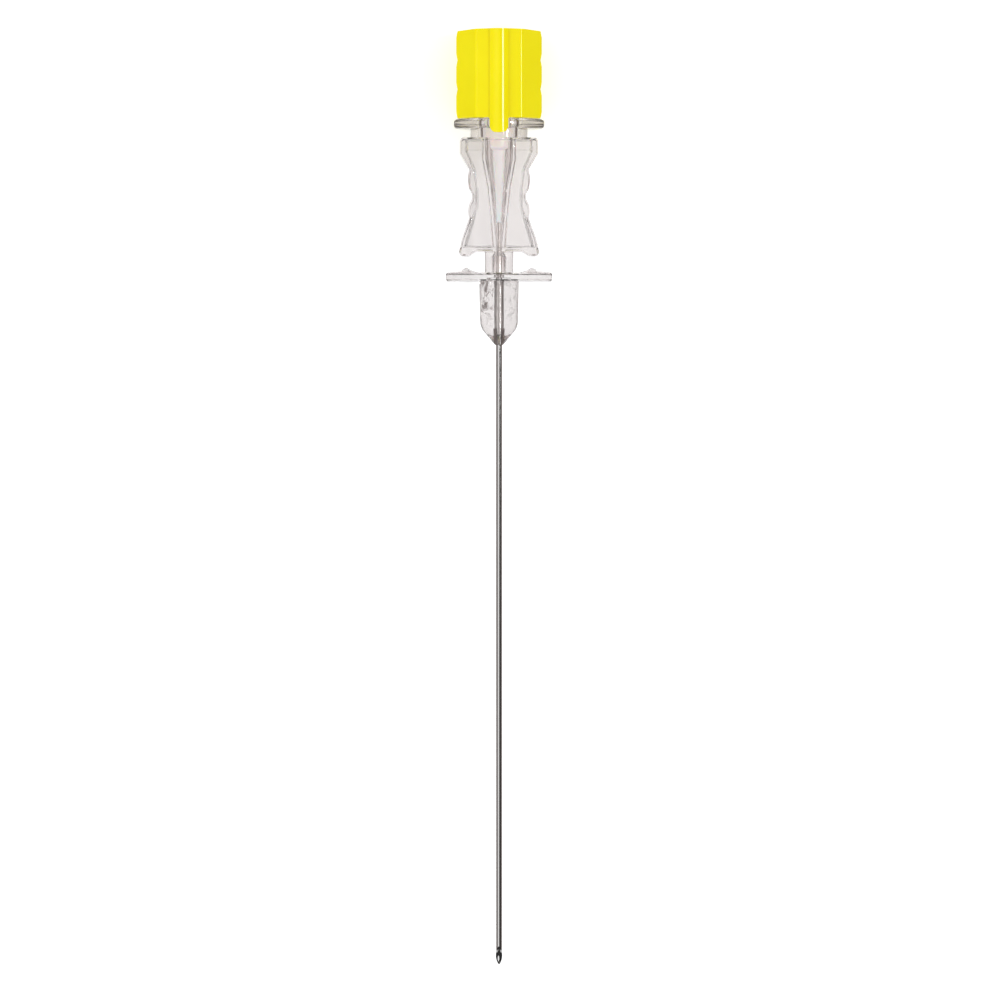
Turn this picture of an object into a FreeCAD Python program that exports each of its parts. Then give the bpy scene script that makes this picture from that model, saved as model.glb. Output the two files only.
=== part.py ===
import FreeCAD, Part
import math
import os
import Sketcher

# A spinal needle, in millimetres. It lies on its side, as it comes to rest on a table: Y runs along the needle,
# towards the cap, and Z points up. The origin is on the needle's axis, where the steel tube leaves the hub's nose.

# The driving dimensions. Heights are measured along Y from the origin unless the name says otherwise.
DIMENSIONS = {
    # steel tube
    "needle_diameter": 0.908,
    "needle_bore": 0.603,
    "needle_length": 88.9,
    "bonded_length": 13.6,
    "blasted_diameter": 0.898,
    # lancet point: one long bevel and two side grinds that meet in a short ridge
    "bevel_length": 2.63,
    "ridge_length": 0.29,
    "side_grind_turn": 25.5,
    # stylet wire
    "wire_diameter": 0.55,
    "wire_grip_length": 7.5,
    # nose of the hub
    "nose_tip_diameter": 1.14,
    "nose_cone_diameter": 4.0,
    "nose_cone_length": 1.7,
    "nose_bulge_radius": 2.6,
    "nose_shoulder_diameter": 5.46,
    "nose_shoulder_height": 3.6,
    "nose_diameter": 5.74,
    "nose_length": 9.11,
    # wing plate, the anti-roll flange
    "wing_width": 15.2,
    "wing_depth": 13.0,
    "wing_thickness": 1.18,
    "wing_corner": 2.2,
    "wing_chamfer": 0.2,
    # thumb ramps on the wing plate
    "ramp_width": 10.7,
    "ramp_height": 0.72,
    "ramp_top_width": 9.3,
    "ramp_foot_width": 4.9,
    "ramp_radius": 4.0,
    # lower neck
    "lower_neck_diameter": 4.1,
    "lower_neck_length": 3.05,
    # grip: widths, and drops below its top
    "grip_length": 16.32,
    "grip_depth": 8.4,
    "shoulder_width": 11.2,
    "shoulder_drop": 2.2,
    "shoulder_corner": 0.55,
    "upper_notch_width": 8.46,
    "upper_notch_drop": 4.55,
    "upper_bump_radius": 6.0,
    "upper_bump_end_width": 8.5,
    "upper_bump_end_drop": 7.4,
    "valley_radius": 1.4,
    "lower_bump_start_width": 8.3,
    "lower_bump_start_drop": 9.3,
    "lower_bump_radius": 2.9,
    "lower_notch_width": 8.46,
    "lower_notch_drop": 11.5,
    "flare_width": 10.66,
    "flare_drop": 14.5,
    "foot_width": 11.4,
    "foot_drop": 16.25,
    "foot_height": 0.63,
    "foot_corner": 0.5,
    "arch_width": 6.6,
    "foot_inner_width": 8.6,
    "grip_chamfer": 0.25,
    # recesses that leave an H section
    "web_thickness": 1.0,
    "upper_web_thickness": 1.9,
    "ledge_drop": 1.72,
    "top_wall": 0.5,
    "bottom_wall": 0.95,
    "side_wall": 1.22,
    "waist_wall": 0.95,
    "recess_shoulder_drop": 1.9,
    "recess_waist_width": 5.84,
    "recess_waist_top_drop": 7.4,
    "recess_waist_end_drop": 9.9,
    "recess_draft": 5.0,
    # socket and funnel, in a flat-fronted rib
    "socket_mouth_diameter": 4.32,
    "socket_taper": 0.06,
    "socket_depth": 5.9,
    "funnel_middle_diameter": 2.5,
    "funnel_middle_drop": 7.16,
    "funnel_low_diameter": 1.5,
    "funnel_low_drop": 12.0,
    "funnel_end_gap": 1.01,
    "land_diameter": 0.93,
    "rib_wall": 0.47,
    "rib_depth": 6.2,
    "rib_edge_round": 0.3,
    # upper neck and key flange
    "neck_diameter": 8.2,
    "neck_length": 1.34,
    "flange_diameter": 13.0,
    "flange_thickness": 1.4,
    "flange_rim_height": 0.48,
    "flange_rim_depth": 0.48,
    "flange_rim_middle": 0.24,
    "flange_ease": 0.065,
    # glue well
    "exit_diameter": 1.0,
    "exit_inner_diameter": 1.1,
    "exit_length": 2.7,
    "well_low_diameter": 2.5,
    "well_cone_length": 0.5,
    "well_step_height": 4.9,
    "well_diameter": 3.5,
    "well_top_height": 9.6,
    "passage_diameter": 1.45,
    "land_length": 0.45,
    "glue_rise": 0.35,
    # stylet cap
    "cap_gap": 0.1,
    "cap_height": 12.5,
    "cap_crown": 0.35,
    "cap_width": 12.43,
    "cap_depth": 10.5,
    "cap_flat_width": 6.7,
    "cap_corner_round": 0.5,
    "scallop_depth": 0.26,
    "cap_wall": 1.25,
    "cap_roof": 1.6,
    "boss_diameter": 7.2,
    "boss_clearance": 0.35,
    # key rib on the cap, and its tab in the flange slot
    "key_width": 2.7,
    "key_rise": 0.86,
    "key_inner_depth": 4.3,
    "key_reach": 2.15,
    "key_tip_round": 1.0,
    "key_root_round": 0.3,
    "key_clearance": 0.12,
    # stylet insert, the tapered plug that carries the wire
    "plug_clearance": 0.02,
    "plug_length": 4.3,
    "insert_head_diameter": 5.0,
    "insert_head_length": 5.3,
    "sleeve_top_diameter": 2.6,
    "sleeve_chamfer": 0.25,
    "sleeve_end_diameter": 1.0,
    "sleeve_end_drop": 12.1,
}

SHEET = "sizes"
MARGIN = 1.0
SCALLOPS = 3
KEY_SHANK_SHARE = 0.35


class Size:
    """A length known both as a number and as a formula on the sheet."""

    def __init__(self, value, formula):
        self.value = value
        self.formula = formula

    def __add__(self, other):
        other = as_size(other)
        return Size(self.value + other.value, f"({self.formula} + {other.formula})")

    def __radd__(self, other):
        return as_size(other) + self

    def __sub__(self, other):
        other = as_size(other)
        return Size(self.value - other.value, f"({self.formula} - {other.formula})")

    def __rsub__(self, other):
        return as_size(other) - self

    def __mul__(self, other):
        other = as_size(other)
        return Size(self.value * other.value, f"{self.formula} * {other.formula}")

    def __rmul__(self, other):
        return as_size(other) * self

    def __truediv__(self, other):
        other = as_size(other)
        return Size(self.value / other.value, f"({self.formula}) / ({other.formula})")

    def __neg__(self):
        return Size(-self.value, f"(0 - {self.formula})")


def as_size(number):
    if isinstance(number, Size):
        return number
    return Size(float(number), f"({number})")


def size(name):
    return Size(DIMENSIONS[name], f"{SHEET}.{name}")


def half(name):
    return size(name) / 2


def cosine(angle):
    return Size(math.cos(math.radians(angle.value)), f"cos({angle.formula} * 1 deg)")


# Heights that several pieces share
NOSE_TOP = size("nose_length")
WING_TOP = NOSE_TOP + size("wing_thickness")
GRIP_BOTTOM = WING_TOP + size("lower_neck_length")
GRIP_TOP = GRIP_BOTTOM + size("grip_length")
FLANGE_BOTTOM = GRIP_TOP + size("neck_length")
FLANGE_TOP = FLANGE_BOTTOM + size("flange_thickness")
SOCKET_END = FLANGE_TOP - size("socket_depth")
FUNNEL_MIDDLE = GRIP_TOP - size("funnel_middle_drop")
FUNNEL_LOW = GRIP_TOP - size("funnel_low_drop")
FUNNEL_END = size("bonded_length") + size("funnel_end_gap")
LAND_BOTTOM = size("bonded_length") - size("land_length")
CAP_BOTTOM = FLANGE_TOP + size("cap_gap")
CAP_TOP = CAP_BOTTOM + size("cap_height")
HEAD_BOTTOM = FLANGE_TOP + size("boss_clearance")
HEAD_TOP = HEAD_BOTTOM + size("insert_head_length")
PLUG_END = FLANGE_TOP - size("plug_length")
WIRE_TOP = PLUG_END + size("wire_grip_length")

SOCKET_MOUTH_RADIUS = half("socket_mouth_diameter")
SOCKET_SLOPE = half("socket_taper")
SOCKET_END_RADIUS = SOCKET_MOUTH_RADIUS - SOCKET_SLOPE * size("socket_depth")


def start_document():
    doc = FreeCAD.newDocument("spinal_needle")
    sheet = doc.addObject("Spreadsheet::Sheet", SHEET)
    for row, (name, value) in enumerate(DIMENSIONS.items(), start=1):
        sheet.set(f"A{row}", name)
        sheet.set(f"B{row}", str(value))
        sheet.setAlias(f"B{row}", name)
    doc.recompute()
    return doc


def new_body(doc, label):
    body = doc.addObject("PartDesign::Body", label)
    body.Label = label
    body.Placement = FreeCAD.Placement()
    return body


def origin_part(body, role):
    return next(item for item in body.Origin.OriginFeatures if item.Role == role)


def new_sketch(body, name, role="XY_Plane", lift=None):
    """A sketch on one of the body's origin planes, lifted off it along its normal where a height is given."""
    sketch = body.newObject("Sketcher::SketchObject", name)
    sketch.AttachmentSupport = (origin_part(body, role), "")
    sketch.MapMode = "FlatFace"
    if lift is not None:
        sketch.setExpression("AttachmentOffset.Base.z", lift.formula)
    return sketch


class Rules:
    """Constraints for one sketch, added together so that the sketch is solved once."""

    def __init__(self, sketch):
        self.sketch = sketch
        self.rules = []
        self.formulas = []

    def add(self, *parts, formula=None):
        self.rules.append(Sketcher.Constraint(*parts))
        self.formulas.append(formula)

    def hold_point(self, geometry, end, x, y):
        """Hold a sketch point at two coordinates, each a Size."""
        for coordinate, kind, axis in ((x, "DistanceX", -2), (y, "DistanceY", -1)):
            value = coordinate.value
            if abs(value) < 1e-9:
                self.add("PointOnObject", geometry, end, axis)
            elif value > 0:
                self.add(kind, -1, 1, geometry, end, value, formula=coordinate.formula)
            else:
                self.add(kind, geometry, end, -1, 1, -value, formula=(-coordinate).formula)

    def apply(self):
        first = self.sketch.ConstraintCount
        self.sketch.addConstraint(self.rules)
        for index, formula in enumerate(self.formulas, start=first):
            if formula:
                self.sketch.setExpression(f"Constraints[{index}]", formula)


def outline(sketch, steps):
    """Draw a closed outline. A step of two sizes is a corner reached by a straight line. A third size makes it an
    arc of that radius: it bows to the right of the way it goes, or to the left where the size is negative."""
    steps = [tuple(as_size(number) for number in step) for step in steps]
    first = sketch.GeometryCount
    count = len(steps)
    edges = []
    for index, step in enumerate(steps):
        before = vector(*steps[index - 1][:2])
        after = vector(*step[:2])
        if len(step) == 2:
            edges.append(Part.LineSegment(before, after))
        else:
            edges.append(arc_between(before, after, step[2].value))
    sketch.addGeometry(edges, False)
    ends = [near_and_far(sketch, first + index, steps[index]) for index in range(count)]
    rules = Rules(sketch)
    for index, step in enumerate(steps):
        edge = first + index
        following = (index + 1) % count
        rules.add("Coincident", edge, ends[index][1], first + following, ends[following][0])
        rules.hold_point(edge, ends[index][1], *step[:2])
        if len(step) == 3:
            radius = step[2] if step[2].value > 0 else -step[2]
            rules.add("Radius", edge, radius.value, formula=radius.formula)
    rules.apply()


def arc_between(before, after, radius):
    """An arc shorter than half a circle, about a centre on the left of the way it goes where the radius is positive."""
    chord = after - before
    reach = math.sqrt(radius ** 2 - chord.Length ** 2 / 4)
    left = FreeCAD.Vector(-chord.y, chord.x, 0).normalize()
    centre = (before + after) / 2 + left * math.copysign(reach, radius)
    first, last = (before, after) if radius > 0 else (after, before)
    start = math.atan2(first.y - centre.y, first.x - centre.x)
    stop = math.atan2(last.y - centre.y, last.x - centre.x)
    if stop < start:
        stop += 2 * math.pi
    return Part.ArcOfCircle(Part.Circle(centre, FreeCAD.Vector(0, 0, 1), abs(radius)), start, stop)


def near_and_far(sketch, geometry, step):
    """Which end of an edge is its beginning and which one is at the corner that it leads to."""
    edge = sketch.Geometry[geometry]
    goal = vector(*step[:2])
    if edge.EndPoint.distanceToPoint(goal) < edge.StartPoint.distanceToPoint(goal):
        return 1, 2
    return 2, 1


def vector(x, y):
    return FreeCAD.Vector(x.value, y.value, 0)


def mirrored(steps):
    """The same steps on the other side of the Y axis, in reverse order, to close a symmetric outline."""
    result = []
    for index in range(len(steps) - 1, -1, -1):
        x, y = steps[index][:2]
        radius = steps[index + 1][2:] if index + 1 < len(steps) else ()
        result.append((-x, y) + radius)
    return result


def bow(chord, rise):
    """The radius of an arc over a chord that rises this far at its middle."""
    return (chord * chord / 4 + rise * rise) / (rise * 2)


def pad(body, name, sketch, length, symmetric=True, reverse=False):
    feature = body.newObject("PartDesign::Pad", name)
    feature.Profile = sketch
    feature.setExpression("Length", length.formula)
    feature.SideType = "Symmetric" if symmetric else "One side"
    feature.Reversed = reverse
    return feature


def pocket(body, name, sketch, length=None, reverse=False):
    """Cut a sketch's area away: to a depth on one side, or right through on both sides."""
    feature = body.newObject("PartDesign::Pocket", name)
    feature.Profile = sketch
    if length is None:
        feature.Type = "ThroughAll"
        feature.SideType = "Symmetric"
    else:
        feature.setExpression("Length", length.formula)
        feature.Reversed = reverse
    return feature


def turn(body, name, steps, cut=False):
    """Revolve an outline of radius and height about the needle's axis."""
    sketch = new_sketch(body, name + "_profile")
    outline(sketch, steps)
    feature = body.newObject("PartDesign::Groove" if cut else "PartDesign::Revolution", name)
    feature.Profile = sketch
    feature.ReferenceAxis = (sketch, ["V_Axis"])
    feature.Angle = 360
    return feature


def mirror_to_back(body, name, features):
    feature = body.newObject("PartDesign::Mirrored", name)
    feature.Originals = features
    feature.MirrorPlane = (origin_part(body, "XY_Plane"), [""])
    body.Tip = feature
    return feature


def ease_edges(body, name, base, chosen, width, kind="Fillet"):
    """Fillet or chamfer the edges of a feature that the chooser picks from its shape."""
    names = [f"Edge{index}" for index, edge in enumerate(base.Shape.Edges, start=1) if chosen(edge)]
    feature = body.newObject("PartDesign::" + kind, name)
    feature.Base = (base, names)
    feature.setExpression("Radius" if kind == "Fillet" else "Size", width.formula)
    return feature


def lancet_point(body):
    """Grind the point: a long bevel that faces +Z, then a grind on each side with the needle turned on its axis."""
    radius = half("needle_diameter")
    tip = -size("needle_length")
    ridge = size("ridge_length")
    ridge_rise = (radius - half("needle_bore")) / ridge
    bevel_rise = (size("needle_diameter") - ridge_rise * ridge) / (size("bevel_length") - ridge)
    ridge_end_depth = ridge_rise * ridge - radius

    sketch = new_sketch(body, "bevel_profile", "YZ_Plane")
    before_tip = ridge_end_depth - bevel_rise * (ridge + MARGIN)
    behind_heel = ridge_end_depth + bevel_rise * (size("bevel_length") + MARGIN - ridge)
    outline(sketch, [
        (tip - MARGIN, before_tip),
        (tip + size("bevel_length") + MARGIN, behind_heel),
        (tip - MARGIN, behind_heel),
    ])
    pocket(body, "bevel", sketch)

    angle = size("side_grind_turn")
    slant = cosine(angle)
    grind_length = size("needle_diameter") * 1.5 / ridge_rise
    for side, sign in (("left", -1), ("right", 1)):
        plane = body.newObject("PartDesign::Plane", side + "_grind_plane")
        plane.AttachmentSupport = (origin_part(body, "YZ_Plane"), "")
        plane.MapMode = "FlatFace"
        turned = FreeCAD.Rotation(FreeCAD.Vector(sign, 0, 0), 1)
        plane.AttachmentOffset = FreeCAD.Placement(FreeCAD.Vector(), turned)
        plane.setExpression("AttachmentOffset.Rotation.Angle", f"{angle.formula} * 1 deg")
        sketch = body.newObject("Sketcher::SketchObject", side + "_grind_profile")
        sketch.AttachmentSupport = (plane, "")
        sketch.MapMode = "FlatFace"
        front = (-radius - ridge_rise * MARGIN) * slant
        back = (-radius + ridge_rise * grind_length) * slant
        outline(sketch, [(tip - MARGIN, front), (tip + grind_length, back), (tip - MARGIN, back)])
        pocket(body, side + "_grind", sketch)


def make_cannula(doc):
    """The 20 gauge steel tube. Its bonded end is blasted to a key for the glue, which takes off a few microns."""
    body = new_body(doc, "cannula")
    bore = half("needle_bore")
    tip = -size("needle_length") - MARGIN
    turn(body, "tube", [
        (bore, tip),
        (half("needle_diameter"), tip),
        (half("needle_diameter"), 0),
        (half("blasted_diameter"), size("bonded_length")),
        (bore, size("bonded_length")),
    ])
    doc.recompute()
    lancet_point(body)
    return body


def make_wire(doc):
    """The stylet's solid wire. It fills the tube's bore, and it is ground flush with the tube's bevel."""
    body = new_body(doc, "stylet_wire")
    turn(body, "rod", [
        (0, -size("needle_length") - MARGIN),
        (half("wire_diameter"), -size("needle_length") - MARGIN),
        (half("wire_diameter"), WIRE_TOP),
        (0, WIRE_TOP),
    ])
    doc.recompute()
    lancet_point(body)
    return body


def grip_side():
    """The right side of the grip, seen from the front: a shoulder, two finger bumps round a waist, and a foot."""

    def at(width, drop):
        return half(width), GRIP_TOP - size(drop)

    shoulder = half("shoulder_width")
    corner = size("shoulder_corner")
    foot = half("foot_width")
    toe = size("foot_corner")
    foot_bottom = GRIP_BOTTOM - size("foot_height")
    return [
        (shoulder - corner, GRIP_TOP),
        (shoulder, GRIP_TOP - corner, -corner),
        at("shoulder_width", "shoulder_drop"),
        at("upper_notch_width", "upper_notch_drop"),
        at("upper_bump_end_width", "upper_bump_end_drop") + (-size("upper_bump_radius"),),
        at("lower_bump_start_width", "lower_bump_start_drop") + (size("valley_radius"),),
        at("lower_notch_width", "lower_notch_drop") + (-size("lower_bump_radius"),),
        at("flare_width", "flare_drop"),
        at("foot_width", "foot_drop"),
        (foot, foot_bottom + toe),
        (foot - toe, foot_bottom, -toe),
        (half("foot_inner_width"), foot_bottom),
        (half("arch_width"), GRIP_BOTTOM),
    ]


def recess_side(top):
    """The right side of the recess, which follows the grip's waist inside its walls."""
    wall = size("side_wall")
    waist = half("recess_waist_width")
    return [
        (half("shoulder_width") - wall, top),
        (half("shoulder_width") - wall, GRIP_TOP - size("recess_shoulder_drop")),
        (half("upper_notch_width") - size("waist_wall"), GRIP_TOP - size("upper_notch_drop")),
        (waist, GRIP_TOP - size("recess_waist_top_drop")),
        (waist, GRIP_TOP - size("recess_waist_end_drop")),
        (half("foot_width") - wall, GRIP_BOTTOM + size("bottom_wall")),
    ]


def is_front_or_back_outline(depth, shortest=0):
    """Edges that lie flat in the front or the back face of a piece that is this deep, and run along the needle at
    least this far."""

    def chosen(edge):
        box = edge.BoundBox
        return box.ZLength < 1e-6 and abs(abs(box.ZMax) - depth.value / 2) < 1e-6 and box.YLength >= shortest

    return chosen


def is_wing_rim(edge):
    box = edge.BoundBox
    level = min(abs(box.YMax - NOSE_TOP.value), abs(box.YMax - WING_TOP.value))
    reach = max(box.XMax, -box.XMin, box.ZMax, -box.ZMin)
    return box.YLength < 1e-6 and level < 1e-6 and reach > DIMENSIONS["nose_diameter"]


def make_hub(doc):
    """The clear hub, one moulding."""
    body = new_body(doc, "hub")
    grip_depth = size("grip_depth")

    # grip block with finger bumps
    sketch = new_sketch(body, "grip_profile")
    side = grip_side()
    outline(sketch, side + mirrored(side))
    grip = pad(body, "grip", sketch, grip_depth)
    doc.recompute()
    chosen = is_front_or_back_outline(grip_depth)
    ease_edges(body, "grip_chamfer", grip, chosen, size("grip_chamfer"), kind="Chamfer")

    # recesses, front and back, down to a web that is thicker above the ledge
    recesses = []
    tops = {"upper": GRIP_TOP - size("top_wall"), "lower": GRIP_TOP - size("ledge_drop")}
    webs = {"upper": half("upper_web_thickness"), "lower": half("web_thickness")}
    for name, top in tops.items():
        sketch = new_sketch(body, name + "_recess_profile", lift=webs[name])
        side = recess_side(top)
        outline(sketch, side + mirrored(side))
        recess = pocket(body, name + "_recess", sketch, half("grip_depth"), reverse=True)
        recess.setExpression("TaperAngle", f"{SHEET}.recess_draft")
        recesses.append(recess)
    doc.recompute()
    mirror_to_back(body, "back_recesses", recesses)

    # flat-fronted rib round the funnel
    wall = size("rib_wall")
    side = [
        (SOCKET_END_RADIUS + wall, GRIP_TOP - size("top_wall") / 2),
        (SOCKET_END_RADIUS + wall, SOCKET_END),
        (half("funnel_middle_diameter") + wall, FUNNEL_MIDDLE),
        (half("funnel_low_diameter") + wall, FUNNEL_LOW),
        (half("land_diameter") + wall, GRIP_BOTTOM + size("bottom_wall") / 2),
    ]
    sketch = new_sketch(body, "rib_profile")
    outline(sketch, side + mirrored(side))
    rib = pad(body, "rib", sketch, size("rib_depth"))
    doc.recompute()
    chosen = is_front_or_back_outline(size("rib_depth"), shortest=MARGIN)
    ease_edges(body, "rib_rounds", rib, chosen, size("rib_edge_round"))

    # upper neck and key flange
    rim = size("flange_rim_height")
    inset = size("flange_rim_depth")
    middle = size("flange_rim_middle")
    ease = size("flange_ease")
    flange = half("flange_diameter")
    turn(body, "neck_and_flange", [
        (0, GRIP_TOP - size("top_wall") / 2),
        (half("neck_diameter"), GRIP_TOP - size("top_wall") / 2),
        (half("neck_diameter"), FLANGE_BOTTOM),
        (flange - inset, FLANGE_BOTTOM),
        (flange - middle, FLANGE_BOTTOM + ease),
        (flange - ease, FLANGE_BOTTOM + middle),
        (flange, FLANGE_BOTTOM + rim),
        (flange, FLANGE_TOP - rim),
        (flange - ease, FLANGE_TOP - middle),
        (flange - middle, FLANGE_TOP - ease),
        (flange - inset, FLANGE_TOP),
        (0, FLANGE_TOP),
    ])

    # lower neck and bullet-shaped nose
    turn(body, "nose", [
        (0, 0),
        (half("nose_tip_diameter"), 0),
        (half("nose_cone_diameter"), size("nose_cone_length")),
        (half("nose_shoulder_diameter"), size("nose_shoulder_height"), size("nose_bulge_radius")),
        (half("nose_diameter"), NOSE_TOP + size("wing_thickness") / 2),
        (half("lower_neck_diameter"), NOSE_TOP + size("wing_thickness") / 2),
        (half("lower_neck_diameter"), GRIP_BOTTOM + size("bottom_wall") / 2),
        (0, GRIP_BOTTOM + size("bottom_wall") / 2),
    ])

    # wing plate, straight at the front and the back so that the hub can't roll
    sketch = new_sketch(body, "wing_profile", "XZ_Plane", lift=-NOSE_TOP)
    across = half("wing_width")
    along = half("wing_depth")
    corner = size("wing_corner")
    side = [
        (across - corner, along),
        (across, along - corner, -corner),
        (across, corner - along),
        (across - corner, -along, -corner),
    ]
    outline(sketch, side + mirrored(side))
    wing = pad(body, "wing", sketch, size("wing_thickness"), symmetric=False, reverse=True)
    doc.recompute()
    ease_edges(body, "wing_chamfer", wing, is_wing_rim, size("wing_chamfer"), kind="Chamfer")

    # thumb ramps on the wing plate, either side of the lower neck
    sketch = new_sketch(body, "ramp_profile")
    ramp_top = WING_TOP + size("ramp_height")
    for sign in (1, -1):
        outline(sketch, [
            (sign * half("ramp_foot_width"), WING_TOP - size("wing_thickness") / 2),
            (sign * half("ramp_width"), WING_TOP - size("wing_thickness") / 2),
            (sign * half("ramp_width"), WING_TOP + size("ramp_height") * 0.6),
            (sign * half("ramp_top_width"), ramp_top),
            (sign * half("ramp_foot_width"), WING_TOP, -sign * size("ramp_radius")),
        ])
    pad(body, "ramps", sketch, grip_depth)

    # tapered socket, funnel, land for the tube, passage and glue well
    turn(body, "bores", [
        (0, FLANGE_TOP + MARGIN),
        (SOCKET_MOUTH_RADIUS + SOCKET_SLOPE * MARGIN, FLANGE_TOP + MARGIN),
        (SOCKET_END_RADIUS, SOCKET_END),
        (half("funnel_middle_diameter"), FUNNEL_MIDDLE),
        (half("funnel_low_diameter"), FUNNEL_LOW),
        (half("land_diameter"), FUNNEL_END),
        (half("land_diameter"), LAND_BOTTOM),
        (half("passage_diameter"), LAND_BOTTOM - size("land_length")),
        (half("passage_diameter"), size("well_top_height")),
        (half("well_diameter"), size("well_top_height")),
        (half("well_diameter"), size("well_step_height")),
        (half("well_low_diameter"), size("well_step_height") - size("well_cone_length")),
        (half("well_low_diameter"), size("exit_length") + size("well_cone_length")),
        (half("exit_inner_diameter"), size("exit_length")),
        (half("exit_diameter"), 0),
        (half("exit_diameter"), -MARGIN),
        (0, -MARGIN),
    ], cut=True)

    # slot in the flange for the cap's key
    sketch = new_sketch(body, "key_slot_profile", lift=size("key_inner_depth") - size("key_clearance"))
    slot = half("key_width") + size("key_clearance")
    side = [(slot, FLANGE_BOTTOM - size("neck_length") / 2), (slot, FLANGE_TOP + MARGIN)]
    outline(sketch, side + mirrored(side))
    pocket(body, "key_slot", sketch, half("flange_diameter"), reverse=True)
    return body


def make_adhesive(doc):
    """The cured glue that bonds the tube in the nose. It fills the well and creeps a little way up the passage."""
    body = new_body(doc, "adhesive")
    passage = half("passage_diameter")
    well_top = size("well_top_height")
    blast_slope = (half("needle_diameter") - half("blasted_diameter")) / size("bonded_length")
    glue_top = well_top + size("glue_rise") * 2
    turn(body, "glue", [
        (half("needle_diameter"), 0),
        (half("exit_diameter"), 0),
        (half("exit_inner_diameter"), size("exit_length")),
        (half("well_low_diameter"), size("exit_length") + size("well_cone_length")),
        (half("well_low_diameter"), size("well_step_height") - size("well_cone_length")),
        (half("well_diameter"), size("well_step_height")),
        (half("well_diameter"), well_top),
        (passage, well_top),
        (passage, well_top + size("glue_rise")),
        (half("needle_diameter") - blast_slope * glue_top, glue_top),
    ])
    return body


def make_insert(doc):
    """The natural plastic plug that carries the wire. Its taper seats in the hub's socket, and a slim sleeve
    reaches down the funnel to steady the wire."""
    body = new_body(doc, "stylet_insert")
    hole = half("wire_diameter")
    clearance = size("plug_clearance")
    plug_end_radius = SOCKET_MOUTH_RADIUS - SOCKET_SLOPE * size("plug_length") - clearance
    head = half("insert_head_diameter")
    neck_rise = size("boss_clearance")
    chamfer = size("sleeve_chamfer")
    turn(body, "plug", [
        (hole, GRIP_TOP - size("sleeve_end_drop")),
        (half("sleeve_end_diameter"), GRIP_TOP - size("sleeve_end_drop")),
        (half("sleeve_top_diameter"), PLUG_END - chamfer),
        (plug_end_radius - chamfer, PLUG_END),
        (plug_end_radius, PLUG_END + chamfer),
        (SOCKET_MOUTH_RADIUS + SOCKET_SLOPE * neck_rise - clearance, HEAD_BOTTOM),
        (head, HEAD_BOTTOM),
        (head, HEAD_TOP),
        (0, HEAD_TOP),
        (0, WIRE_TOP),
        (hole, WIRE_TOP),
    ])
    return body


def cap_section(inset):
    """The right half of the cap's six-sided section, inset by a wall. Sketch X is the width and sketch Y the depth."""
    slope = (half("cap_width") - half("cap_flat_width")) / half("cap_depth")
    corner = half("cap_width") - inset * 1.18
    flat = half("cap_depth") - inset
    return [(corner - slope * flat, flat), (corner, as_size(0)), (corner - slope * flat, -flat)]


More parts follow.
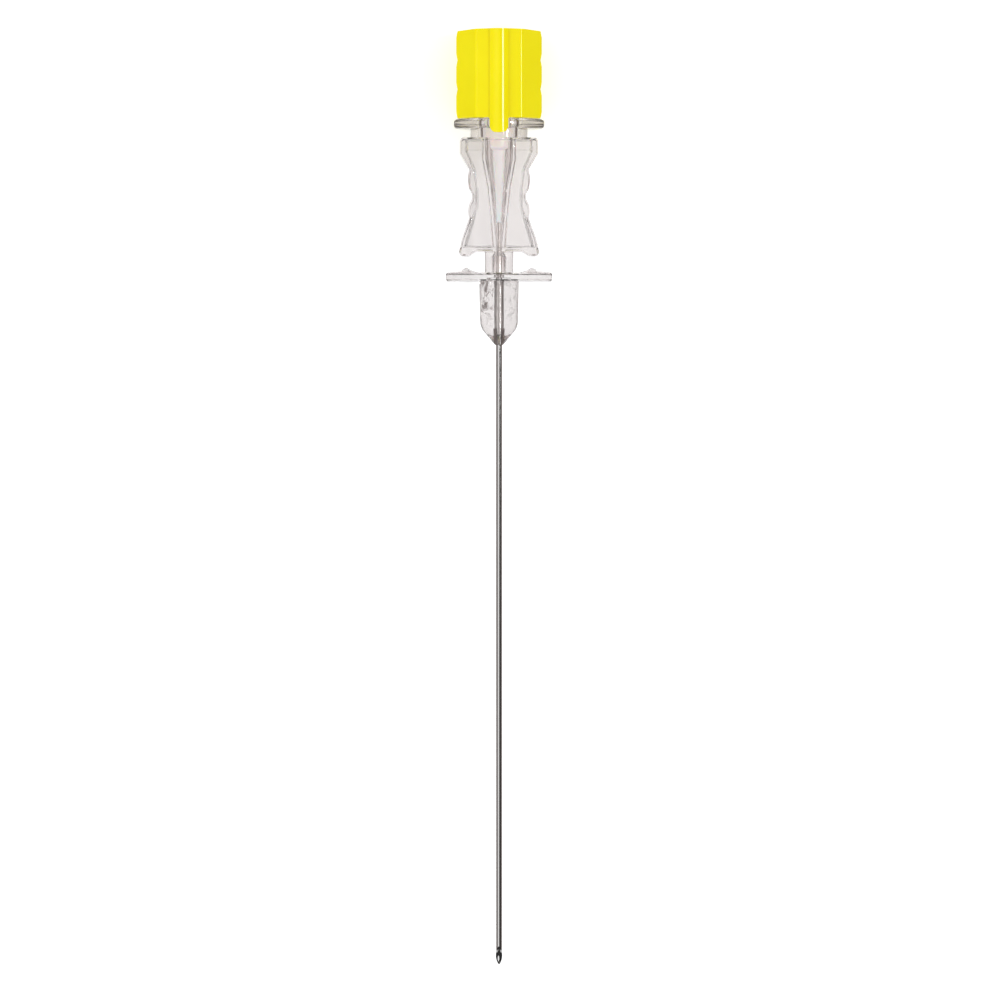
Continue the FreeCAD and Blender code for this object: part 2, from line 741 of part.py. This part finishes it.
def make_cap(doc):
    """The moulded stylet cap: six sides, scalloped edges for the fingers, and a key rib that runs down into a tab."""
    body = new_body(doc, "stylet_cap")

    # six-sided block
    sketch = new_sketch(body, "cap_profile", "XZ_Plane", lift=-CAP_BOTTOM)
    side = cap_section(as_size(0))
    outline(sketch, side + mirrored(side))
    block = pad(body, "block", sketch, size("cap_height") + size("cap_crown"), symmetric=False, reverse=True)
    doc.recompute()

    def is_upright(edge):
        return edge.BoundBox.YLength > DIMENSIONS["cap_height"] / 2

    ease_edges(body, "block_rounds", block, is_upright, size("cap_corner_round"))

    # half-round key rib up the front, and its tab with a rounded end below
    key = half("key_width")
    cap_front = half("cap_depth")
    sketch = new_sketch(body, "key_rib_profile", "XZ_Plane", lift=-CAP_BOTTOM)
    shank = cap_front + size("key_rise") * KEY_SHANK_SHARE
    crest = bow(size("key_width"), size("key_rise") * (1 - KEY_SHANK_SHARE))
    outline(sketch, [
        (key, size("key_inner_depth")),
        (key, shank),
        (-key, shank, crest),
        (-key, size("key_inner_depth")),
    ])
    pad(body, "key_rib", sketch, size("cap_height") + size("cap_crown"), symmetric=False, reverse=True)
    tab = pad(body, "key_tab", sketch, size("key_reach"), symmetric=False)
    doc.recompute()

    def is_tab_root(edge):
        box = edge.BoundBox
        across = max(box.XLength, abs(abs(box.XMax) - key.value))
        return max(across, box.YLength, abs(box.YMax - CAP_BOTTOM.value)) < 1e-6

    ease_edges(body, "tab_roots", tab, is_tab_root, size("key_root_round"))

    # wavy side edges and a slightly crowned top, cut from the front view
    sketch = new_sketch(body, "scallop_profile")
    outer = half("cap_width") + MARGIN
    groove = half("cap_width") - size("scallop_depth")
    pitch = size("cap_height") / SCALLOPS
    side_top = CAP_TOP - size("cap_crown") * 0.3
    for sign in (1, -1):
        steps = [(sign * outer, CAP_BOTTOM - MARGIN), (sign * groove, CAP_BOTTOM - MARGIN), (sign * groove, CAP_BOTTOM)]
        for step in range(SCALLOPS):
            low = CAP_BOTTOM + pitch * step
            steps.append((sign * groove, low + pitch, sign * bow(pitch, size("scallop_depth"))))
        steps.append((sign * groove, CAP_TOP + MARGIN))
        steps.append((sign * outer, CAP_TOP + MARGIN))
        outline(sketch, steps)
    pocket(body, "scallops", sketch)
    sketch = new_sketch(body, "crown_profile")
    outline(sketch, [
        (outer, CAP_TOP + MARGIN),
        (-outer, CAP_TOP + MARGIN),
        (-outer, side_top),
        (outer, side_top, -bow(outer * 2, size("cap_crown"))),
    ])
    pocket(body, "crown", sketch)

    # rounded end of the tab
    sketch = new_sketch(body, "tab_end_profile")
    tip = CAP_BOTTOM - size("key_reach")
    bend = size("key_tip_round")
    for sign in (1, -1):
        outline(sketch, [
            (sign * (key + MARGIN), tip - MARGIN),
            (sign * (key + MARGIN), tip + bend),
            (sign * key, tip + bend),
            (sign * (key - bend), tip, -sign * bend),
            (sign * (key - bend), tip - MARGIN),
        ])
    pocket(body, "tab_end", sketch)

    # core from the underside, which leaves a boss for the insert's head
    sketch = new_sketch(body, "core_profile", "XZ_Plane", lift=-CAP_BOTTOM)
    side = cap_section(size("cap_wall"))
    outline(sketch, side + mirrored(side))
    circle = sketch.addGeometry(Part.Circle(FreeCAD.Vector(), FreeCAD.Vector(0, 0, 1), DIMENSIONS["boss_diameter"] / 2))
    rules = Rules(sketch)
    rules.add("Coincident", circle, 3, -1, 1)
    rules.add("Diameter", circle, size("boss_diameter").value, formula=size("boss_diameter").formula)
    rules.apply()
    pocket(body, "core", sketch, size("cap_height") - size("cap_roof"))
    turn(body, "boss_bore", [
        (0, CAP_BOTTOM - MARGIN),
        (half("boss_diameter"), CAP_BOTTOM - MARGIN),
        (half("boss_diameter"), HEAD_BOTTOM),
        (half("insert_head_diameter"), HEAD_BOTTOM),
        (half("insert_head_diameter"), HEAD_TOP),
        (0, HEAD_TOP),
    ], cut=True)
    return body


def check(doc, bodies):
    doc.recompute()
    for item in doc.Objects:
        if "Invalid" in item.State or "Error" in item.State:
            raise RuntimeError(f"{item.Label} failed: {item.State}")
    for body in bodies:
        shape = body.Shape
        if shape.isNull() or not shape.isValid() or len(shape.Solids) != 1:
            raise RuntimeError(f"{body.Label} isn't one valid solid")


def main():
    doc = start_document()
    makers = (make_hub, make_cannula, make_adhesive, make_wire, make_insert, make_cap)
    bodies = [make(doc) for make in makers]
    check(doc, bodies)
    os.makedirs("parts", exist_ok=True)
    for body in bodies:
        body.Shape.exportStep(os.path.join("parts", body.Label + ".step"))
        box = body.Shape.BoundBox
        print(f"{body.Label}: {box.XLength:.2f} x {box.YLength:.2f} x {box.ZLength:.2f}, {body.Shape.Volume:.2f} mm3")


main()
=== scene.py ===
import math

import bmesh
import bpy
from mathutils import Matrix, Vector
from mathutils.bvhtree import BVHTree


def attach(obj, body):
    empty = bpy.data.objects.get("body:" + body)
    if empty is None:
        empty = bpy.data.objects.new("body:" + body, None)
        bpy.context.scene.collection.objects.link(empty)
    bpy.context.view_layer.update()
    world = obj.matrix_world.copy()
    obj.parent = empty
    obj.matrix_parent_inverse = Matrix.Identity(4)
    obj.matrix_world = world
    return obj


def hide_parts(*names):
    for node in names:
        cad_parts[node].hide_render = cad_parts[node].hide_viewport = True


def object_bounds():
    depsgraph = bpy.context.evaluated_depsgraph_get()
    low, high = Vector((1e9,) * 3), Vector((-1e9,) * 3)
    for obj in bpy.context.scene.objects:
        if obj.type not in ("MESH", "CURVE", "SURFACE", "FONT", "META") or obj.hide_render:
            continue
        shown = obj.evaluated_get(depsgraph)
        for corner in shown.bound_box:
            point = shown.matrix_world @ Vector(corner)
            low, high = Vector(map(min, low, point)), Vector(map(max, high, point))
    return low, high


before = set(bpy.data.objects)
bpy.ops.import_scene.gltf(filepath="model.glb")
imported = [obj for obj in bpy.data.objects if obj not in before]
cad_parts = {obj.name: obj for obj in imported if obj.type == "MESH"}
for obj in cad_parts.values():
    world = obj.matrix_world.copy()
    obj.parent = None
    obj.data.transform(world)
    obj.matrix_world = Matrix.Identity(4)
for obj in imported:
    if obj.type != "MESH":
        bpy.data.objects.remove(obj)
cad_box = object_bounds()

MM = 0.001

# The needle lies on the floor, with its point at the -Y end
FLOOR_HEIGHT = cad_box[0][2]
TIP = cad_box[0][1]

# The visual copies of the hub and the glue
WELD = 0.0001 * MM
FLAT_CREASE = math.radians(0.5)
SHARP_CREASE = math.radians(32)
EASED_CREASE = math.radians(60)
EASED_EDGE = 0.18 * MM
EASED_SEGMENTS = 3
GRIP_DEPTH = 8.4 * MM
CONTACT = 0.03 * MM

# The share of the light that clear plastic and glue let in
LET_IN = 0.92

# Painted highlights on the ground point, white and not metallic, one near the tip and one on each side of the
# heel: centre and reach, across and along, and how bright they are
TIP_HIGHLIGHT = (-0.08 * MM, TIP + 0.88 * MM, 0), (0.105 * MM, 0.42 * MM, 1), 1.0
SIDE_HIGHLIGHT = (0.33 * MM, TIP + 1.95 * MM, 0), (0.15 * MM, 0.22 * MM, 1), 0.7
# The painted highlights' white, and the painted shade that darkens the ground facets
HIGHLIGHT_WHITE = (0.85, 0.85, 0.85)
GROUND_SHADE = (0.06, 0.06, 0.06)

# What steel and clear plastic see of the room. The floor has its colours within POOL_REACH of the needle
WHITE = (1.0, 1.0, 1.0)
PALE_ROOM = (0.74, 0.71, 0.70)
FLOOR_EDGE = (0.135, 0.10, 0.09)
DIM = (0.27, 0.26, 0.255)
LEFT_GLOOM = (0.25, 0.235, 0.23)
RIGHT_GLOOM = (0.035, 0.030, 0.029)
POOL_REACH = 20 * MM

# The world's light on matt surfaces, and how brightly the floor glows for the camera and in reflections
WORLD_LIGHT = (0.76, 0.76, 0.76)
FLOOR_GLOW = 0.30
REFLECTED_GLOW = 0.06

# The picture: how much of the scene it shows from edge to edge, and its middle, seen from straight above
PICTURE_SIZE = 143.47 * MM
PICTURE_CENTRE = Vector((0.14, -22.24, 0)) * MM
CAMERA_DISTANCE = 1.6
SENSOR = 36.0


# Nodes

def node(tree, kind, **settings):
    """Add a node. Settings name its properties, or its sockets where it has no such property."""
    result = tree.nodes.new("ShaderNode" + kind)
    for name, value in settings.items():
        if hasattr(result, name):
            setattr(result, name, value)
        else:
            result.inputs[name.replace("_", " ")].default_value = value
    return result


def join(tree, source, target):
    tree.links.new(source, target)


def feed(tree, target, value):
    """Give a socket another socket's value, a colour or a number."""
    if isinstance(value, bpy.types.NodeSocket):
        join(tree, value, target)
    elif isinstance(value, tuple):
        target.default_value = (*value, 1.0)
    else:
        target.default_value = value


def combine(tree, operation, first, *others):
    """Take sockets together with a Math operation."""
    result = first
    for other in others:
        step = node(tree, "Math", operation=operation)
        join(tree, result, step.inputs[0])
        join(tree, other, step.inputs[1])
        result = step.outputs[0]
    return result


def rescale(tree, source, start, end, low=0.0, high=1.0):
    """Turn start to end into low to high. Beyond them it stays at low and at high."""
    result = node(tree, "MapRange", From_Min=start, From_Max=end, To_Min=low, To_Max=high)
    join(tree, source, result.inputs["Value"])
    return result.outputs["Result"]


def between(tree, source, low, high):
    """Turn 0 to 1 into low to high."""
    return rescale(tree, source, 0.0, 1.0, low, high)


def mix(tree, factor, first, second, blend="MIX"):
    """Blend two colours."""
    result = node(tree, "Mix", data_type="RGBA", blend_type=blend)
    feed(tree, result.inputs["Factor"], factor)
    feed(tree, result.inputs[6], first)
    feed(tree, result.inputs[7], second)
    return result.outputs[2]


def ramp(tree, source, stops):
    """Colours between stops of (position, colour)."""
    result = node(tree, "ValToRGB")
    elements = result.color_ramp.elements
    while len(elements) < len(stops):
        elements.new(0.5)
    for element, (position, colour) in zip(elements, stops):
        element.position = position
        element.color = (*colour, 1.0)
    join(tree, source, result.inputs["Fac"])
    return result.outputs["Color"]


def ray_is(tree, *kinds):
    """1 for rays of any of these kinds, such as "Glossy", and 0 for the others."""
    path = node(tree, "LightPath")
    return combine(tree, "MAXIMUM", *[path.outputs[f"Is {kind} Ray"] for kind in kinds])


def split(tree, vector):
    """A vector's X, Y and Z."""
    parts = node(tree, "SeparateXYZ")
    join(tree, vector, parts.inputs[0])
    return parts.outputs["X"], parts.outputs["Y"], parts.outputs["Z"]


def coordinates(tree, kind="Object"):
    return node(tree, "TexCoord").outputs[kind]


def place(tree, scale=(1, 1, 1)):
    """Object coordinates, stretched for a texture that runs along the needle."""
    mapping = node(tree, "Mapping")
    mapping.inputs["Scale"].default_value = scale
    join(tree, coordinates(tree), mapping.inputs["Vector"])
    return mapping.outputs["Vector"]


def to_the_side(tree, x):
    """How far a point is to either side of the needle's middle."""
    aside = node(tree, "Math", operation="ABSOLUTE")
    join(tree, x, aside.inputs[0])
    return aside.outputs[0]


def off_axis(tree):
    """How far a point is from the needle's axis."""
    flat = node(tree, "VectorMath", operation="MULTIPLY")
    flat.inputs[1].default_value = (1, 0, 1)
    join(tree, coordinates(tree), flat.inputs[0])
    distance = node(tree, "VectorMath", operation="LENGTH")
    join(tree, flat.outputs[0], distance.inputs[0])
    return distance.outputs["Value"]


def noise(tree, vector, scale, detail=2.0, roughness=0.5):
    result = node(tree, "TexNoise", Scale=scale, Detail=detail, Roughness=roughness)
    join(tree, vector, result.inputs["Vector"])
    return result.outputs["Fac"]


def bump(tree, shader, height, strength, distance):
    result = node(tree, "Bump", Strength=strength, Distance=distance)
    join(tree, height, result.inputs["Height"])
    join(tree, result.outputs["Normal"], shader.inputs["Normal"])


# Materials

def new_material(name, **settings):
    """A Principled material with its plain settings, and its node tree for the rest."""
    material = bpy.data.materials.new(name)
    material.use_nodes = True
    tree = material.node_tree
    shader = tree.nodes["Principled BSDF"]
    for socket, value in settings.items():
        shader.inputs[socket.replace("_", " ")].default_value = value
    return material, tree, shader


def let_light_in(tree, shader):
    """Clear plastic passes most of the light that falls on what is inside it and behind it."""
    alpha = between(tree, ray_is(tree, "Shadow", "Diffuse"), 1.0, 1.0 - LET_IN)
    join(tree, alpha, shader.inputs["Alpha"])


def clear_plastic():
    """Water-clear moulding with faint flow lines and a slight warm tint."""
    material, tree, shader = new_material("clear_plastic", Transmission_Weight=0.97, IOR=1.53)
    vector = place(tree, (1, 0.35, 1))
    cloud = noise(tree, vector, 260, detail=3)
    tint = ramp(tree, cloud, [(0.3, (0.875, 0.838, 0.832)), (0.7, (0.93, 0.895, 0.89))])
    join(tree, tint, shader.inputs["Base Color"])
    join(tree, between(tree, noise(tree, vector, 900), 0.015, 0.05), shader.inputs["Roughness"])
    bump(tree, shader, noise(tree, vector, 520), strength=0.06, distance=0.2 * MM)
    let_light_in(tree, shader)
    return material


def wetted_with_shade():
    """The face between the glue and its neighbours. Where the glue wets the plastic nothing shows. It
    missed small patches, most of them to the left and near the wing. Along the tube's sides it is painted
    brown, as shade."""
    material, tree, shader = new_material("wetted_with_shade", Roughness=0.35, IOR=1.5)
    vector = place(tree, (1, 0.6, 1))
    cloud = noise(tree, vector, 1500, detail=4, roughness=0.6)
    # Dark brown: the colour of the missed patches, and the painted shade along the tube's sides
    tint = ramp(tree, cloud, [(0.4, (0.30, 0.25, 0.235)), (0.7, (0.11, 0.08, 0.072))])
    join(tree, tint, shader.inputs["Base Color"])

    x, y, z = split(tree, coordinates(tree))
    aside = to_the_side(tree, x)
    specks = noise(tree, vector, 1150, detail=4, roughness=0.65)
    gaps = rescale(tree, specks, 0.50, 0.62, 0.0, 0.8)
    clear_of_tube = rescale(tree, aside, 0.6 * MM, 0.8 * MM)
    on_the_left = rescale(tree, x, 1.2 * MM, -0.6 * MM, 0.3, 1.0)
    near_the_wing = rescale(tree, y, 3.0 * MM, 6.0 * MM, 0.15, 1.0)
    missed = combine(tree, "MULTIPLY", gaps, clear_of_tube, on_the_left, near_the_wing)

    # Painted shade: the tube's flanks, seen through the glue, are painted brown
    tube_side_shade = rescale(tree, aside, 0.20 * MM, 0.32 * MM, 0.0, 0.8)
    on_the_tube = rescale(tree, off_axis(tree), 0.60 * MM, 0.55 * MM)
    painted_tube_shade = combine(tree, "MULTIPLY", tube_side_shade, on_the_tube)
    join(tree, combine(tree, "MAXIMUM", missed, painted_tube_shade), shader.inputs["Alpha"])
    return material


def glue():
    """The free ends of the cured glue: nearly clear, uneven."""
    material, tree, shader = new_material("glue", Transmission_Weight=1.0, IOR=1.5)
    vector = place(tree)
    cloud = noise(tree, vector, 700, detail=4, roughness=0.6)
    tint = ramp(tree, cloud, [(0.35, (0.86, 0.82, 0.76)), (0.6, (0.97, 0.96, 0.94))])
    join(tree, tint, shader.inputs["Base Color"])
    join(tree, between(tree, cloud, 0.0, 0.22), shader.inputs["Roughness"])
    bump(tree, shader, noise(tree, vector, 1300, detail=3), strength=0.25, distance=0.2 * MM)
    let_light_in(tree, shader)
    return material


def highlight_spot(tree, across, along, centre, reach, brightness):
    """How strongly a point of the steel is painted as a highlight: the given brightness within an oval round
    the centre, and 0 outside it.
    """
    spot = node(tree, "CombineXYZ")
    join(tree, across, spot.inputs["X"])
    join(tree, along, spot.inputs["Y"])
    offset = node(tree, "VectorMath", operation="SUBTRACT")
    join(tree, spot.outputs[0], offset.inputs[0])
    offset.inputs[1].default_value = centre
    share = node(tree, "VectorMath", operation="DIVIDE")
    join(tree, offset.outputs[0], share.inputs[0])
    share.inputs[1].default_value = reach
    squared = node(tree, "VectorMath", operation="DOT_PRODUCT")
    join(tree, share.outputs[0], squared.inputs[0])
    join(tree, share.outputs[0], squared.inputs[1])
    return rescale(tree, squared.outputs["Value"], 1.2, 0.8, 0.0, brightness)


def painted_point_light(tree, drawn):
    """Steel's colour, and where it is painted as a highlight. The facets ground at the point are painted
    dark, as shade, darker than the drawn steel, but for a painted highlight near the tip and one on each side
    of the heel."""
    facing = split(tree, coordinates(tree, "Normal"))
    ground = rescale(tree, facing[1], -0.08, -0.2)
    x, y, z = split(tree, coordinates(tree))
    tip_highlight = highlight_spot(tree, x, y, *TIP_HIGHLIGHT)
    side_highlights = highlight_spot(tree, to_the_side(tree, x), y, *SIDE_HIGHLIGHT)
    highlights = combine(tree, "MAXIMUM", tip_highlight, side_highlights)
    colour = mix(tree, ground, drawn, mix(tree, highlights, GROUND_SHADE, HIGHLIGHT_WHITE))
    return colour, combine(tree, "MULTIPLY", highlights, ground)


def steel(name, bright, roughness):
    """Drawn stainless steel with fine lines along it."""
    material, tree, shader = new_material(name, Metallic=1.0)
    lines = noise(tree, place(tree, (60, 1, 60)), 240, detail=3, roughness=0.6)
    dull = tuple(0.93 * part for part in bright)
    # The point's ground facets get painted shade, and painted highlights that are not metallic
    colour, highlighted = painted_point_light(tree, ramp(tree, lines, [(0.3, dull), (0.7, bright)]))
    join(tree, colour, shader.inputs["Base Color"])
    join(tree, between(tree, highlighted, 1.0, 0.0), shader.inputs["Metallic"])
    join(tree, between(tree, lines, 0.9 * roughness, 1.15 * roughness), shader.inputs["Roughness"])
    bump(tree, shader, lines, strength=0.02, distance=0.01 * MM)
    return material


def yellow_plastic():
    """Opaque glossy yellow moulding, with the faint orange peel of a moulded face."""
    material, tree, shader = new_material(
        "yellow_plastic",
        IOR=1.5,
        Specular_IOR_Level=0.3,
        Subsurface_Weight=0.08,
        Subsurface_Scale=0.8 * MM,
        Subsurface_Radius=(1.0, 0.6, 0.1),
    )
    vector = place(tree)
    patches = noise(tree, vector, 160, detail=3)
    tint = ramp(tree, patches, [(0.3, (0.885, 0.765, 0.002)), (0.7, (0.915, 0.80, 0.004))])
    join(tree, tint, shader.inputs["Base Color"])
    join(tree, between(tree, noise(tree, vector, 1400), 0.11, 0.17), shader.inputs["Roughness"])
    bump(tree, shader, noise(tree, vector, 1500), strength=0.05, distance=0.04 * MM)
    return material


def natural_plastic():
    """Uncoloured moulding: white, waxy and slightly see-through."""
    material, tree, shader = new_material(
        "natural_plastic",
        IOR=1.5,
        Subsurface_Weight=0.4,
        Subsurface_Scale=1.5 * MM,
    )
    vector = place(tree)
    cloud = noise(tree, vector, 300, detail=3)
    tint = ramp(tree, cloud, [(0.3, (0.955, 0.915, 0.915)), (0.7, (0.98, 0.945, 0.945))])
    join(tree, tint, shader.inputs["Base Color"])
    grain = noise(tree, vector, 1200)
    join(tree, between(tree, grain, 0.25, 0.38), shader.inputs["Roughness"])
    bump(tree, shader, grain, strength=0.08, distance=0.05 * MM)
    return material


def backdrop():
    """Pale floor, white to the camera. For steel and clear plastic it is white near the needle and dark
    further out, as in an unlit room, which gives them dark edges. Through the plastic it is pale again
    beyond that."""
    material, tree, shader = new_material("backdrop", Roughness=0.9, Specular_IOR_Level=0.0)
    cloud = noise(tree, place(tree), 40, detail=3)
    pale = ramp(tree, cloud, [(0.3, (0.90, 0.90, 0.90)), (0.7, (0.92, 0.92, 0.92))])

    x, y, z = split(tree, coordinates(tree))
    across = rescale(tree, x, -POOL_REACH, POOL_REACH)
    pool = ramp(tree, across, [(0.22, FLOOR_EDGE), (0.33, WHITE), (0.67, WHITE), (0.76, FLOOR_EDGE)])
    far = rescale(tree, to_the_side(tree, x), 0.8 * POOL_REACH, 1.05 * POOL_REACH)
    far_through_plastic = combine(tree, "MULTIPLY", ray_is(tree, "Transmission"), far)
    room = mix(tree, far_through_plastic, pool, PALE_ROOM)

    reflected = ray_is(tree, "Glossy", "Transmission")
    colour = mix(tree, reflected, WHITE, room)
    join(tree, mix(tree, 1.0, pale, colour, "MULTIPLY"), shader.inputs["Base Color"])
    join(tree, colour, shader.inputs["Emission Color"])
    camera_glow = between(tree, ray_is(tree, "Camera"), 0.0, FLOOR_GLOW)
    reflected_glow = between(tree, reflected, 0.0, REFLECTED_GLOW)
    join(tree, combine(tree, "MAXIMUM", camera_glow, reflected_glow), shader.inputs["Emission Strength"])
    return material


# The needle

def add_object(name, data):
    """Put a new object in the scene."""
    result = bpy.data.objects.new(name, data)
    bpy.context.scene.collection.objects.link(result)
    return result


def dress(name, material):
    """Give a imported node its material."""
    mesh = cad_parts[name].data
    mesh.materials.clear()
    mesh.materials.append(material)


def mark_contact(mesh, neighbours, index):
    """Give another material to the facets that lie against a neighbour."""
    for neighbour in neighbours:
        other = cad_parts[neighbour].data
        corners = [vertex.co for vertex in other.vertices]
        surface = BVHTree.FromPolygons(corners, [facet.vertices for facet in other.polygons])
        for facet in mesh.polygons:
            spots = [mesh.vertices[corner].co for corner in facet.vertices] + [facet.center]
            if all(surface.find_nearest(spot)[3] < CONTACT for spot in spots):
                facet.material_index = index


def shaped_mesh(node_name, eased):
    """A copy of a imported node's mesh, with some edges eased, shaded smoothly over its slight creases."""
    bm = bmesh.new()
    bm.from_mesh(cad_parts[node_name].data)
    bmesh.ops.remove_doubles(bm, verts=bm.verts, dist=WELD)
    bmesh.ops.dissolve_limit(bm, angle_limit=FLAT_CREASE, verts=bm.verts, edges=bm.edges)
    if eased:
        edges = [edge for edge in bm.edges if edge.calc_face_angle() > EASED_CREASE and eased(edge)]
        bmesh.ops.bevel(
            bm,
            geom=edges,
            offset=EASED_EDGE,
            offset_type="OFFSET",
            segments=EASED_SEGMENTS,
            profile=0.5,
            affect="EDGES",
        )
    for facet in bm.faces:
        facet.smooth = True
    for edge in bm.edges:
        edge.smooth = edge.calc_face_angle() < SHARP_CREASE
    mesh = bpy.data.meshes.new(node_name + "_shape")
    bm.to_mesh(mesh)
    bm.free()
    return mesh


def visual_copy(node_name, body, materials, neighbours, eased=None):
    """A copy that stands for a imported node, with its second material where it touches its neighbours."""
    mesh = shaped_mesh(node_name, eased)
    for material in materials:
        mesh.materials.append(material)
    mark_contact(mesh, neighbours, 1)
    piece = add_object(node_name + "_shape", mesh)
    piece.modifiers.new("even_normals", "WEIGHTED_NORMAL").keep_sharp = True
    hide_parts(node_name)
    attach(piece, body)


def in_grip_face(edge):
    """Edges in the grip's flat front and back: its recesses' rims, and the fronts of the thumb ramps."""
    return all(abs(abs(corner.co.z) - GRIP_DEPTH / 2) < WELD for corner in edge.verts)


wet = wetted_with_shade()
visual_copy("hub", "needle", [clear_plastic(), wet], ["adhesive"], eased=in_grip_face)
visual_copy("adhesive", "needle", [glue(), wet], ["hub", "cannula"])
dress("cannula", steel("steel_tube", bright=(0.84, 0.83, 0.82), roughness=0.15))
dress("stylet_wire", steel("steel_wire", bright=(0.66, 0.64, 0.62), roughness=0.22))
dress("stylet_insert", natural_plastic())
dress("stylet_cap", yellow_plastic())


# The room

def make_floor():
    reach = 3.0
    mesh = bpy.data.meshes.new("floor")
    corners = [(-reach, -reach, 0), (reach, -reach, 0), (reach, reach, 0), (-reach, reach, 0)]
    mesh.from_pydata(corners, [], [(0, 1, 2, 3)])
    mesh.materials.append(backdrop())
    floor = add_object("floor", mesh)
    floor.location.z = FLOOR_HEIGHT


def softbox(name, spot, target, size, power):
    """A rectangular lamp at a spot, turned to its target. All in metres, its power in watts."""
    data = bpy.data.lights.new(name, "AREA")
    data.shape = "RECTANGLE"
    data.size, data.size_y = size
    data.energy = power
    lamp = add_object(name, data)
    lamp.location = spot
    lamp.rotation_euler = (Vector(target) - Vector(spot)).to_track_quat("-Z", "Y").to_euler()
    return lamp


def make_lamps():
    """A key light from low on the left, for matt surfaces alone, and a strip that draws lines on the cap."""
    key = softbox("key", spot=(-0.60, 0.05, 0.36), target=(0, 0, 0), size=(0.40, 0.60), power=1.40)
    key.visible_glossy = False
    key.visible_transmission = False
    softbox("strip", spot=(0.196, 0.054, 0.29), target=(0, 0.0375, 0), size=(0.05, 0.028), power=0.27)


def make_world():
    """Even light for matt surfaces, white to the camera and pale through the clear plastic. Glossy
    surfaces reflect a studio: a bright ceiling a little to the left, and dark walls, the right one darker."""
    world = bpy.data.worlds.new("studio")
    bpy.context.scene.world = world
    world.use_nodes = True
    tree = world.node_tree
    x, y, z = split(tree, coordinates(tree, "Generated"))
    turn = rescale(tree, combine(tree, "ARCTAN2", x, z), -math.pi / 2, math.pi / 2)
    studio = ramp(tree, turn, [
        (0.02, LEFT_GLOOM),
        (0.26, DIM),
        (0.34, WHITE),
        (0.43, WHITE),
        (0.52, DIM),
        (0.62, RIGHT_GLOOM),
    ])
    glossy = mix(tree, ray_is(tree, "Glossy"), WORLD_LIGHT, studio)
    clear = mix(tree, ray_is(tree, "Transmission"), glossy, PALE_ROOM)
    seen = mix(tree, ray_is(tree, "Camera"), clear, WHITE)
    join(tree, seen, tree.nodes["Background"].inputs["Color"])


def make_camera():
    data = bpy.data.cameras.new("camera")
    data.sensor_width = SENSOR
    data.lens = SENSOR * CAMERA_DISTANCE / PICTURE_SIZE
    data.clip_end = 10
    camera = add_object("camera", data)
    camera.location = PICTURE_CENTRE + Vector((0, 0, CAMERA_DISTANCE))
    bpy.context.scene.camera = camera


make_floor()
make_lamps()
make_world()
make_camera()
bpy.context.scene.view_settings.view_transform = "Standard"
